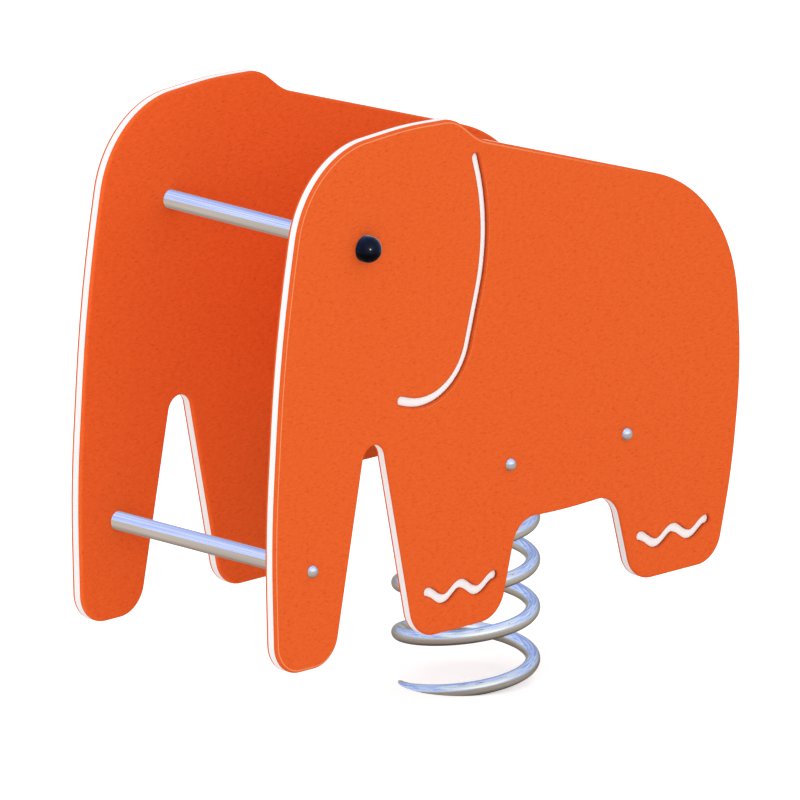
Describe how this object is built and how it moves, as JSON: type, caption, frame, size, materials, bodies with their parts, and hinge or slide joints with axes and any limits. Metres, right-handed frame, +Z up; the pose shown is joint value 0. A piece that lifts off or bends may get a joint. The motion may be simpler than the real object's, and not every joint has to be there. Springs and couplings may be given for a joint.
{
  "type": "spring rider",
  "caption": "Playground spring rider: elephant-shaped layered plastic side panels, seat board, handlebar and footrest on a coil spring clamped to a buried base plate.",
  "frame": {"origin": "centre of the base plate's underside, on the spring's axis", "axes": "+Z up, -Y towards the trunk, +X to the rider's left"},
  "size_m": [0.435, 0.8786, 0.91],
  "materials": {
    "galvanised": "zinc-coated steel",
    "fastener_steel": "polished stainless",
    "spring_steel": "smooth coated spring steel",
    "orange_sheet": "satin orange-peel sheet",
    "white_core": "routed white core",
    "bar_steel": "polished stainless tube",
    "eye_black": "glossy black"
  },
  "bodies": {
    "ground_base": {"base_plate": "galvanised", "lower_clamp_1": "galvanised", "lower_clamp_2": "galvanised", "lower_clamp_3": "galvanised", "lower_clamp_bolts": "fastener_steel"},
    "spring_coil": {"spring": "spring_steel"},
    "rider": {"upper_clamp_1": "galvanised", "upper_clamp_2": "galvanised", "upper_clamp_3": "galvanised", "seat_carrier": "galvanised", "handlebar_plugs": "galvanised", "footrest_plugs": "galvanised", "upper_clamp_bolts": "fastener_steel", "seat_bolts": "fastener_steel", "seat_nuts": "fastener_steel", "carrier_bolts": "fastener_steel", "carrier_washers": "fastener_steel", "carrier_nuts": "fastener_steel", "handlebar_bolts": "fastener_steel", "handlebar_washers": "fastener_steel", "footrest_bolts": "fastener_steel", "seat_bottom_skin": "orange_sheet", "seat_top_skin": "orange_sheet", "left_panel_inner_skin": "orange_sheet", "left_panel_outer_skin": "orange_sheet", "right_panel_inner_skin": "orange_sheet", "right_panel_outer_skin": "orange_sheet", "seat_core": "white_core", "left_panel_core": "white_core", "right_panel_core": "white_core", "handlebar_tube": "bar_steel", "footrest_tube": "bar_steel", "eye_cap_left": "eye_black", "eye_cap_right": "eye_black"}
  },
  "joints": [
    {"name": "rock_fore_aft", "type": "hinge", "parent": "ground_base", "child": "spring_coil", "pos_m": [0, 0, 0.125], "axis": [1, 0, 0], "range_deg": [-11, 11], "stiffness_Nm_per_rad": 415, "springref_deg": -4.35, "deforming": ["spring"]},
    {"name": "rock_sideways", "type": "hinge", "parent": "spring_coil", "child": "rider", "pos_m": [0, 0, 0.31], "axis": [0, 1, 0], "range_deg": [-10, 10], "stiffness_Nm_per_rad": 415, "deforming": ["spring"]}
  ]
}
